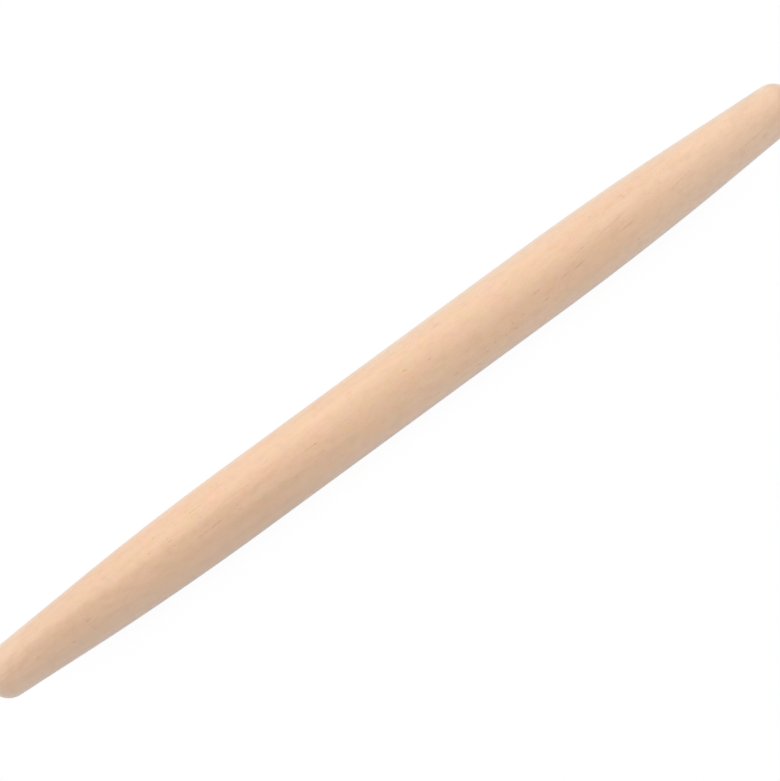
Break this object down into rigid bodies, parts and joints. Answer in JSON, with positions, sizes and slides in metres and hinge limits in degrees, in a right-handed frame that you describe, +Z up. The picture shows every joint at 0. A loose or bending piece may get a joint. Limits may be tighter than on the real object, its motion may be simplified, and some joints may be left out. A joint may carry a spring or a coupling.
{
  "type": "rolling pin",
  "caption": "Solid wooden rolling pin for pizza and pastry dough: a straight round barrel that eases into slim tapered ends with rounded tips, turned in one with no handles or axle.",
  "frame": {"origin": "on the worktop under the middle of the barrel, where the lying pin rests", "axes": "+X along the pin's own axis from its left end to its right end, +Y away from the user across the pin, +Z up from the worktop"},
  "size_m": [0.4, 0.03, 0.03],
  "materials": {
    "beech": "pale steamed beech, turned and fine sanded, unvarnished, with a soft low sheen"
  },
  "bodies": {
    "root": {"rolling_pin": "beech"}
  },
  "joints": []
}
